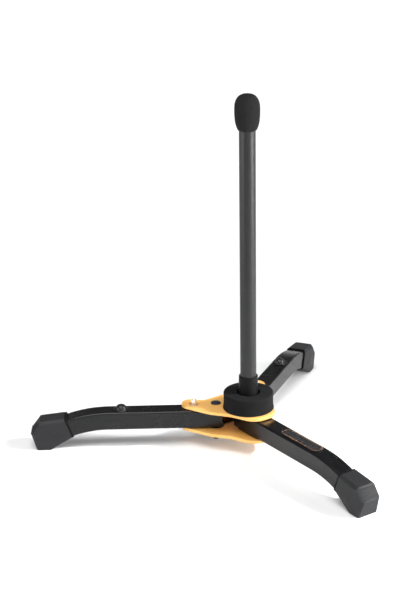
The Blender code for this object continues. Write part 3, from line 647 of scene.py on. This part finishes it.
rivet_low, rivet_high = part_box("front_leg_rivet")
rivet_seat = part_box("top_plate")[1].z + GAP
rivet_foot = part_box("bottom_plate")[0].z - GAP
head, shank, edge = RIVET_HEAD / 2, RIVET_SHANK / 2, RIVET_EDGE
foot = head * RIVET_FOOT
dimple, dimple_floor = shank * RIVET_DIMPLE[0], shank * RIVET_DIMPLE[1]
profile = arc(0, rivet_seat + edge, head, rivet_high.z - rivet_seat - edge, 90, 0, 12)
profile += [(head, rivet_seat), (shank, rivet_seat), (shank, rivet_foot), (foot, rivet_foot)]
profile += arc(foot - edge, rivet_low.z + edge, edge, edge, 0, -90, 5)
profile += [(dimple, rivet_low.z), (dimple_floor, rivet_low.z + edge), (0, rivet_low.z + edge)]
rivet = turned(profile, middle("front_leg_rivet"))
add_piece("front_fixing_rivet", rivet, zinc, "base", ["front_leg_rivet"])
finish_node("front_shim_top", black_nylon)
finish_node("front_shim_bottom", black_nylon)

# Centre bolt: a hexagon-headed steel bolt comes up through both plates and the front leg. A washer and nut
# clamp them, and its long end is the stud that the pole screws on.

BOLT_SIZE = 8.0 * MM
BOLT_FLATS = 13.0 * MM
BOLT_PITCH = 1.25 * MM
BOLT_ROOT = 1 * MM  # of the shank inside the head

bolt_low, bolt_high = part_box("centre_bolt")
bolt_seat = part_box("bottom_plate")[0].z - GAP
nut_low, nut_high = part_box("stud_nut")
shank = BOLT_SIZE / 2
bolt = hexagon("stand_bolt", "centre_bolt", BOLT_FLATS, zinc, bolt_low.z, bolt_seat)
profile = [(0, bolt_high.z), (shank - BOLT_POINT, bolt_high.z), (shank, bolt_high.z - BOLT_POINT)]
profile += thread(shank, bolt_high.z - 2 * BOLT_POINT, nut_low.z, BOLT_PITCH)
profile += [(shank, nut_low.z), (shank, bolt_seat - BOLT_ROOT), (0, bolt_seat - BOLT_ROOT)]
carve(bolt, turned(profile, middle("centre_bolt")), "UNION")
bolt.data.set_sharp_from_angle(angle=math.radians(SHARP))
nut = hexagon("clamp_nut", "stud_nut", BOLT_FLATS, zinc, nut_low.z, nut_high.z)
bore = bmesh.new()
pin(bore, middle("stud_nut"), STUD_HOLE, *THROUGH)
carve(nut, bore)
finish_node("bolt_sleeve", zinc)
finish_node("bolt_washer", zinc)

# Locks: a chrome-plated button stands in each wing's hole on a sprung steel plunger in the leg. Pressing it
# in lets the leg turn.

BUTTON_PIN = 5.0 * MM
BUTTON_ROUND = 2.4 * MM
BUTTON_RECESS = 1.6 * MM  # of its shoulder below the plate's top
SHOULDER_CHAMFER = 0.3 * MM
CHROME_DARK = (0.88, 0.88, 0.89)
CHROME_LIGHT = (0.95, 0.95, 0.96)

chrome = Finish("chrome_plate", {"Metallic": 0.8})
chrome_haze = chrome.grain(2 * MM, detail=2)
chrome.feed("Base Color", chrome.mixed(chrome_haze, CHROME_DARK, CHROME_LIGHT))
chrome.feed("Roughness", 0.20 + 0.1 * chrome_haze)

for side, body in (("left", "left_lock_button"), ("right", "right_lock_button")):
    node = side + "_lock_button"
    button_low, button_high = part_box(node)
    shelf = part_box("top_plate")[1].z - BUTTON_RECESS
    pin_radius = BUTTON_PIN / 2
    outer = LOCK_HOLE / 2 - GAP
    tip = button_high.z - BUTTON_ROUND
    profile = [(0, button_high.z)]
    profile += arc(pin_radius - BUTTON_ROUND, tip, BUTTON_ROUND, BUTTON_ROUND, 90, 0)
    profile += [(pin_radius, shelf), (outer - SHOULDER_CHAMFER, shelf), (outer, shelf - SHOULDER_CHAMFER)]
    profile += [(outer, button_low.z), (0, button_low.z)]
    button = turned(profile, middle(node))
    add_piece(side + "_button", button, chrome, body, [node])
    finish_node(side + "_lock_plunger", zinc)
    finish_node(side + "_lock_spring", zinc)

# Leg plugs: a rubber plug with a domed head on a thin flange is pressed into the top of each rear leg. A
# shallow groove runs round the dome.

PLUG_DOME = 10.8 * MM
PLUG_FLANGE = 15.2 * MM
PLUG_FLANGE_THICKNESS = 1.0 * MM
PLUG_STEM = 8.0 * MM
PLUG_ROUND = 0.4 * MM
PLUG_GROOVE = ((0.15 * MM, 0), (0.5 * MM, 0.15 * MM), (0.9 * MM, 0))  # distances from the dome, and depths
PLUG_DARK = (0.006, 0.006, 0.0065)
PLUG_LIGHT = (0.011, 0.011, 0.0115)

plug_rubber = Finish("plug_rubber_gloss", {"Specular IOR Level": 0.4})
plug_haze = plug_rubber.grain(3 * MM, detail=2)
plug_rubber.feed("Base Color", plug_rubber.mixed(plug_haze, PLUG_DARK, PLUG_LIGHT))
plug_rubber.feed("Roughness", 0.22 + 0.1 * plug_haze)

for leg, body in (("left", "left_leg"), ("right", "right_leg")):
    node = leg + "_leg_plug"
    plug_low, plug_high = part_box(node)
    seat = TUBE_HEIGHT + TUBE_SIZE / 2 + GAP
    shelf = seat + PLUG_FLANGE_THICKNESS
    head, flange, stem = PLUG_DOME / 2, PLUG_FLANGE / 2, PLUG_STEM / 2
    profile = arc(0, shelf, head, plug_high.z - shelf, 90, 4, 14)
    profile += [(head + away, shelf - depth) for away, depth in PLUG_GROOVE]
    profile += arc(flange - PLUG_ROUND, shelf - PLUG_ROUND, PLUG_ROUND, PLUG_ROUND, 90, 0, 4)
    profile += [(flange, seat), (stem, seat), (stem, plug_low.z + PLUG_ROUND)]
    profile += [(stem - PLUG_ROUND, plug_low.z), (0, plug_low.z)]
    plug = turned(profile, middle(node), 56)
    add_piece(leg + "_rubber_plug", plug, plug_rubber, body, [node])

# Badge: a thin black lacquered plate with round corners, glued on the front leg, with a dull copper line
# printed round its edge.

BADGE_CORNER = 5.0 * MM
BADGE_LENGTH = 56.0 * MM
BADGE_WIDTH = 12.6 * MM
BADGE_MARGIN = 0.7 * MM  # outside the line
BADGE_LINE = 0.45 * MM
BADGE_RIM = 0.15 * MM  # width of its bevelled rim, which is half as deep
BADGE_STEP = 0.1 * MM  # width of the step inside the line, which is half as deep
LACQUER_DARK = (0.012, 0.012, 0.013)
LACQUER_LIGHT = (0.020, 0.020, 0.022)
COPPER_DARK = (0.24, 0.12, 0.055)
COPPER_LIGHT = (0.34, 0.19, 0.10)

badge = Finish("badge_lacquer", {"IOR": 1.5})
badge_haze = badge.grain(8 * MM, detail=2)
badge_line = badge.node("ShaderNodeAttribute", {"attribute_name": "line"}, {}, "Fac")
badge_black = badge.mixed(badge_haze, LACQUER_DARK, LACQUER_LIGHT)
badge_copper = badge.mixed(badge_haze, COPPER_DARK, COPPER_LIGHT)
badge.feed("Base Color", badge.mixed(badge_line, badge_black, badge_copper))
badge.feed("Roughness", 0.22 + 0.1 * badge_haze)

label_low, label_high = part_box("leg_label")
place = middle("leg_label")
bm = bmesh.new()
bmesh.ops.create_grid(bm, x_segments=1, y_segments=1, size=0.5)
bmesh.ops.scale(bm, vec=(BADGE_WIDTH, BADGE_LENGTH, 1), verts=bm.verts)
rounded(bm, list(bm.verts), BADGE_CORNER, 10)
thicken(bm, (0, 0, label_high.z - label_low.z))
bmesh.ops.recalc_face_normals(bm, faces=bm.faces)
bmesh.ops.translate(bm, vec=(place.x, place.y, label_low.z), verts=bm.verts)
line = bm.faces.layers.float.new("line")
top = [face for face in bm.faces if face.normal.z > LEVEL]
bmesh.ops.inset_region(bm, faces=top, thickness=BADGE_RIM, depth=0)
upper = [vert for vert in bm.verts if vert.co.z > label_high.z - 10 * MERGE]
rim = [vert for vert in upper if not any(face in top for face in vert.link_faces)]
bmesh.ops.translate(bm, vec=(0, 0, -BADGE_RIM / 2), verts=rim)
bmesh.ops.inset_region(bm, faces=top, thickness=BADGE_MARGIN - BADGE_RIM, depth=0)
for face in bmesh.ops.inset_region(bm, faces=top, thickness=BADGE_LINE, depth=0)["faces"]:
    face[line] = 1
bmesh.ops.inset_region(bm, faces=top, thickness=BADGE_STEP, depth=-BADGE_STEP / 2)
add_piece("badge", bm, badge, "base", ["leg_label"], sharp=20)

# Foam ring: firm black foam, cut as a ring and glued on the upper plate. The foot of the flute stands on
# it. Its sides are a little hollow, and a pocket in its underside clears the front rivet.

RING_HOLE = 23.2 * MM
RING_RADIUS = 25.0 * MM
RING_HOLLOW = 0.15 * MM
RING_FLARE = 0.6 * MM
RING_FLARE_HEIGHT = 3.0 * MM
RING_ROUND = 1.0 * MM
FOAM_STEP = 0.7 * MM  # of its mesh
FOAM_BUMP = 0.10 * MM
FOAM_LUMPS = (1.6 * MM, 4.5 * MM)  # across, the larger ones half as deep
FOAM_CELL = 0.7 * MM
FOAM_SHARP = 80
POCKET_DEPTH = 1.8 * MM + GAP
RING_DARK = (0.004, 0.004, 0.0045)
RING_LIGHT = (0.008, 0.008, 0.0085)


def finer(profile, step):
    """The same outline with no step longer than that."""
    points = [profile[0]]
    for before, after in zip(profile, profile[1:]):
        run = Vector(after) - Vector(before)
        parts = max(1, round(run.length / step))
        points += [tuple(Vector(before) + run * i / parts) for i in range(1, parts + 1)]
    return points


def foam_skin(bm, centre, bore):
    """Presses the lumps of the foam into its outer faces, and leaves its bore and underside smooth."""
    bmesh.ops.remove_doubles(bm, verts=bm.verts, dist=MERGE)
    bmesh.ops.recalc_face_normals(bm, faces=bm.faces)
    bm.normal_update()
    small, large = FOAM_LUMPS
    for vert in bm.verts:
        away = Vector((vert.co.x - centre.x, vert.co.y - centre.y)).length
        if away < bore + FOAM_BUMP or vert.normal.z < -LEVEL:
            continue
        lumps = noise.noise(vert.co / small) + 0.5 * noise.noise(vert.co / large)
        vert.co += vert.normal * FOAM_BUMP * (lumps - 0.5)


def black_foam(name, dark, light):
    """Firm closed foam: cells of two sizes, a little cloudy, and dull all over."""
    finish = Finish(name, {"Specular IOR Level": 0.15})
    cells = finish.node("ShaderNodeTexVoronoi", {}, {"Vector": finish.place(), "Scale": 1 / FOAM_CELL})
    cloud = finish.grain(7 * MM, detail=3)
    fine = finish.grain(0.5 * MM, detail=2)
    finish.feed("Base Color", finish.mixed(0.5 * cells + 0.5 * cloud, dark, light))
    finish.feed("Roughness", 0.86 + 0.12 * cloud)
    finish.rough_up(cells + fine, depth=0.12 * MM, strength=0.8)
    return finish


ring_foam = black_foam("ring_foam", RING_DARK, RING_LIGHT)

ring_low, ring_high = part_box("base_pad")
low, high = ring_low.z, ring_high.z
hole = RING_HOLE / 2
profile = [(hole, low), (hole, high - RING_ROUND)]
profile += arc(hole + RING_ROUND, high - RING_ROUND, RING_ROUND, RING_ROUND, 180, 90, 4)
profile += arc(RING_RADIUS - RING_ROUND, high - RING_ROUND, RING_ROUND, RING_ROUND, 90, 0, 4)
profile += [(RING_RADIUS - RING_HOLLOW, (low + high) / 2), (RING_RADIUS, low + RING_FLARE_HEIGHT)]
profile += [(RING_RADIUS + RING_FLARE, low), (hole, low)]
bm = turned(finer(profile, FOAM_STEP), middle("pole_tube"), 220)
foam_skin(bm, middle("pole_tube"), hole)
pad = add_piece("foam_ring", bm, ring_foam, "base", ["base_pad"], FOAM_SHARP)
pocket = bmesh.new()
pin(pocket, middle("front_leg_rivet"), RIVET_HEAD + 2 * GAP, low - POCKET_DEPTH, low + POCKET_DEPTH)
carve(pad, pocket)

# Collar: a moulded black plastic foot, tapered, that the pole is pressed into. A brass insert inside it
# screws on the stud, and a room in its underside clears the stud's nut and washer.

COLLAR_RADIUS = 9.75 * MM
COLLAR_TOP_RADIUS = 9.5 * MM
COLLAR_EDGE = 0.5 * MM
COLLAR_FOOT_EDGE = 0.4 * MM
COLLAR_SEAT = 18.0 * MM  # of the pole above the collar's foot
POLE_RADIUS = 8.0 * MM
POLE_WALL = 1.2 * MM
INSERT_RADIUS = 6.0 * MM
WASHER_SIZE = 15.0 * MM
WASHER_GAP = GAP + 0.1 * MM
BRASS_DARK = (0.62, 0.43, 0.14)
BRASS_LIGHT = (0.76, 0.56, 0.22)

collar_low, collar_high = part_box("pole_collar")
low, high = collar_low.z, collar_high.z
seat = low + COLLAR_SEAT
stud_room = BOLT_SIZE / 2 + 2 * GAP
nut_room = max(WASHER_SIZE / 2, BOLT_FLATS / math.sqrt(3)) + WASHER_GAP
nut_top = nut_high.z + GAP
insert_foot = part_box("pole_insert")[0].z - GAP
insert_room = INSERT_RADIUS + GAP
profile = arc(COLLAR_TOP_RADIUS - COLLAR_EDGE, high - COLLAR_EDGE, COLLAR_EDGE, COLLAR_EDGE, 90, 0, 6)
profile += [(COLLAR_RADIUS, low + COLLAR_FOOT_EDGE), (COLLAR_RADIUS - COLLAR_FOOT_EDGE, low)]
profile += [(nut_room, low), (nut_room, nut_top), (stud_room, nut_top), (stud_room, insert_foot)]
profile += [(insert_room, insert_foot), (insert_room, seat)]
profile += [(POLE_RADIUS + GAP, seat), (POLE_RADIUS + GAP, high), profile[0]]
collar = turned(profile, middle("pole_tube"), 72)
add_piece("pole_foot_collar", collar, black_nylon, "pole", ["pole_collar"])

brass = Finish("turned_brass", {"Metallic": 1.0})
brass_lines = brass.grain(0.4 * MM, detail=2, stretch=(0.2, 0.2, 1))
brass.feed("Base Color", brass.mixed(brass_lines, BRASS_DARK, BRASS_LIGHT))
brass.feed("Roughness", 0.28 + 0.15 * brass_lines)
finish_node("pole_insert", brass)

# Pole: drawn steel tube, painted satin grey, with a plastic plug in its upper end.

POLE_EDGE = 0.25 * MM
POLE_STEP = 20 * MM  # of its mesh
GREY_DARK = (0.008, 0.008, 0.0085)
GREY_LIGHT = (0.014, 0.014, 0.0145)

satin_grey = Finish("satin_grey_paint", {"Specular IOR Level": 0.37})
draw_lines = satin_grey.grain(0.5 * MM, detail=2, stretch=(1, 1, 0.02))
grey_cloud = satin_grey.grain(25 * MM, detail=2)
grey_shade = 0.5 * draw_lines + 0.5 * grey_cloud
satin_grey.feed("Base Color", satin_grey.mixed(grey_shade, GREY_DARK, GREY_LIGHT))
satin_grey.feed("Roughness", 0.36 + 0.08 * draw_lines + 0.06 * grey_cloud)
satin_grey.rough_up(draw_lines, depth=0.01 * MM, strength=0.5)

tube_low, tube_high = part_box("pole_tube")
low, high = tube_low.z, tube_high.z
inner = POLE_RADIUS - POLE_WALL
profile = [(POLE_RADIUS, low + POLE_EDGE), (POLE_RADIUS - POLE_EDGE, low), (inner, low), (inner, high)]
profile += [(POLE_RADIUS - POLE_EDGE, high), (POLE_RADIUS, high - POLE_EDGE)]
profile = finer(profile, POLE_STEP)
profile += finer([profile[-1], profile[0]], POLE_STEP)[1:]
pole = turned(profile, middle("pole_tube"), 96)
add_piece("grey_pole", pole, satin_grey, "pole", ["pole_tube"])
finish_node("pole_end_plug", black_nylon)

# Foam head: firm black foam, turned to a blunt oval and pushed over the end of the pole. It steadies the
# flute's bore from inside.

HEAD_RADIUS = 12.3 * MM
HEAD_TOP = 15.4 * MM  # above its widest place
HEAD_BOTTOM = 19.3 * MM
HEAD_FULL_BOTTOM = 24.0 * MM  # of the oval, which is cut off higher up
HEAD_POWER = 2.6
HEAD_LIP = 1.2 * MM  # round of its lower edge
HEAD_TOP_STEPS = 24
HEAD_SIDE_STEPS = 18
HEAD_DARK = (0.009, 0.009, 0.0095)
HEAD_LIGHT = (0.018, 0.018, 0.0185)


def head_radius(share):
    """Radius where the height from the widest place is that share of the whole half."""
    return HEAD_RADIUS * (1 - share**HEAD_POWER) ** (1 / HEAD_POWER)


head_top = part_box("pole_head")[1].z
widest = head_top - HEAD_TOP
low = widest - HEAD_BOTTOM
bore = POLE_RADIUS + GAP
bore_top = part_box("pole_end_plug")[1].z + GAP
profile = [(0, head_top)]
for i in range(1, HEAD_TOP_STEPS + 1):
    share = math.cos(math.pi / 2 * i / HEAD_TOP_STEPS)
    profile.append((head_radius(share), widest + HEAD_TOP * share))
for i in range(1, HEAD_SIDE_STEPS + 1):
    drop = (HEAD_BOTTOM - HEAD_LIP) * i / HEAD_SIDE_STEPS
    profile.append((head_radius(drop / HEAD_FULL_BOTTOM), widest - drop))
lip = profile[-1][0] - HEAD_LIP
profile += arc(lip, low + HEAD_LIP, HEAD_LIP, HEAD_LIP, 0, -90, 5)[1:]
profile += [(bore, low), (bore, bore_top), (0, bore_top)]
bm = turned(finer(profile, FOAM_STEP), middle("pole_tube"), 120)
foam_skin(bm, middle("pole_tube"), bore)
head_foam = black_foam("head_foam", HEAD_DARK, HEAD_LIGHT)
head = add_piece("foam_head", bm, head_foam, "pole", ["pole_head"], FOAM_SHARP)

# Studio: a white floor that glows away from the stand, a large soft lamp overhead, lamps on both sides, a
# narrow one on the front boot, and a camera at the photograph's place. The lamps are placed in its axes.

PHOTO_TURN = math.radians(-36.37)
FLOOR_SIZE = 30
FLOOR_GREY = 0.80
FLOOR_LIGHT = 1.15
GLOW_REACH = (0.22, 0.8)  # distances from the middle between which the floor's glow grows
FLOOR_GLOW = (0.1, 0.75)  # shares of that light by the object and far from it
HORIZON = (0.05, 0.28)  # heights of a direction between which the white wall gives way to the ceiling
CEILING_GLOW = 0.08
WALL_GLOW = 0.9  # over the ceiling's
CAMERA_PLACE = Vector((-0.8684, -1.1532, 0.70536))
CAMERA_DOWN = 20.513  # degrees
CAMERA_SWING = math.radians(1.70)
CAMERA_ROLL = math.radians(-0.24)
CAMERA_LENS = 95.76
CAMERA_SENSOR = 36
CAMERA_SHIFT = (-0.1 / 600, 0.2 / 600)


class Plain(Finish):
    """Nodes of the floor or the world, without a Principled shader."""

    def __init__(self, tree):
        self.tree = tree
        for made in list(tree.nodes):
            if "OUTPUT" not in made.type:
                tree.nodes.remove(made)
        self.surface = tree.nodes[0].inputs["Surface"]

    def blend(self, value, between, start, end):
        """Smooth change from start to end while a value runs between two others."""
        ends = {"From Min": between[0], "From Max": between[1], "To Min": start, "To Max": end}
        smooth = {"interpolation_type": "SMOOTHSTEP"}
        return self.node("ShaderNodeMapRange", smooth, {"Value": value, **ends})


floor_material = bpy.data.materials.new("white_floor")
floor_material.use_nodes = True
plain = Plain(floor_material.node_tree)
paint = plain.node("ShaderNodeBsdfDiffuse", {}, {"Color": (FLOOR_GREY, FLOOR_GREY, FLOOR_GREY, 1)})
white = plain.node("ShaderNodeEmission", {}, {"Strength": FLOOR_LIGHT})
spot = plain.node("ShaderNodeTexCoord", {}, {}, "Object")
away = plain.node("ShaderNodeVectorMath", {"operation": "LENGTH"}, {0: spot}, "Value")
glow = plain.blend(away, GLOW_REACH, *FLOOR_GLOW)
seen = plain.node("ShaderNodeLightPath", {}, {}, "Is Camera Ray")
seen_in_gloss = plain.node("ShaderNodeLightPath", {}, {}, "Is Glossy Ray")
seen_through = plain.node("ShaderNodeLightPath", {}, {}, "Is Transmission Ray")
share = glow * (seen + seen_in_gloss + seen_through)
mixed = plain.node("ShaderNodeMixShader", {}, {0: share, 1: paint, 2: white})
plain.tree.links.new(mixed.link, plain.surface)

bm = bmesh.new()
bmesh.ops.create_grid(bm, x_segments=4, y_segments=4, size=FLOOR_SIZE)
floor = bpy.data.meshes.new("floor")
bm.to_mesh(floor)
bm.free()
floor.materials.append(floor_material)
floor = bpy.data.objects.new("floor", floor)
bpy.context.scene.collection.objects.link(floor)

world = bpy.data.worlds.new("studio")
world.use_nodes = True
bpy.context.scene.world = world
sky = Plain(world.node_tree)
direction = sky.node("ShaderNodeTexCoord", {}, {}, "Generated")
up = sky.node("ShaderNodeSeparateXYZ", {}, {"Vector": direction}, "Z")
light = CEILING_GLOW + WALL_GLOW * sky.blend(up, HORIZON, 1.0, 0.0)
glow = sky.node("ShaderNodeBackground", {}, {"Color": (1, 1, 1, 1), "Strength": light})
sky.tree.links.new(glow.link, sky.surface)


def add_lamp(name, kind, place, target, power, **settings):
    """Lamp with its place and target in the photograph's axes from the foot of the pole."""
    lamp = bpy.data.lights.new(name, kind)
    lamp.energy = power
    for setting, value in settings.items():
        setattr(lamp, setting, value)
    lamp = bpy.data.objects.new(name, lamp)
    bpy.context.scene.collection.objects.link(lamp)
    turn = Matrix.Rotation(PHOTO_TURN, 4, "Z")
    pole = middle("pole_tube")
    base = Matrix.Translation((pole.x, pole.y, 0)) @ turn
    aim = (Vector(target) - Vector(place)).to_track_quat("-Z", "Y").to_matrix().to_4x4()
    lamp.matrix_world = base @ Matrix.Translation(place) @ aim


side_box = {"shape": "RECTANGLE", "size": 0.4, "size_y": 0.3}
add_lamp("left", "AREA", (-1.20, -0.50, 0.16), (0, 0, 0.15), 5, **side_box)
add_lamp("right", "AREA", (1.22, -0.44, 0.16), (0, 0, 0.15), 18, **side_box)
add_lamp("front", "AREA", (0.5, -1.6, 0.8), (0, 0, 0.05), 3, shape="RECTANGLE", size=0.9, size_y=0.6)
high_place = (1.25, -0.27, 0.96)
add_lamp("right_high", "AREA", high_place, (0, 0, 0.05), 12, shape="SQUARE", size=0.6)
beam = {"spot_size": math.radians(8), "spot_blend": 1.0, "shadow_soft_size": 0.25}
add_lamp("front_boot", "SPOT", high_place, (0.11, -0.15, 0.02), 1500, **beam)
add_lamp("overhead", "SUN", (-0.1, -0.35, 1), (0, 0, 0), 3.0, angle=math.radians(46))

camera = bpy.data.cameras.new("camera")
camera.sensor_fit = "VERTICAL"
camera.sensor_height = CAMERA_SENSOR
camera.lens = CAMERA_LENS
camera.shift_x, camera.shift_y = CAMERA_SHIFT
camera = bpy.data.objects.new("camera", camera)
camera.matrix_world = (
    Matrix.Translation(CAMERA_PLACE)
    @ Matrix.Rotation(PHOTO_TURN, 4, "Z")
    @ Matrix.Rotation(math.radians(90 - CAMERA_DOWN), 4, "X")
    @ Matrix.Rotation(CAMERA_SWING, 4, "Y")
    @ Matrix.Rotation(CAMERA_ROLL, 4, "Z")
)
bpy.context.scene.collection.objects.link(camera)
bpy.context.scene.camera = camera
bpy.context.scene.view_settings.view_transform = "Standard"
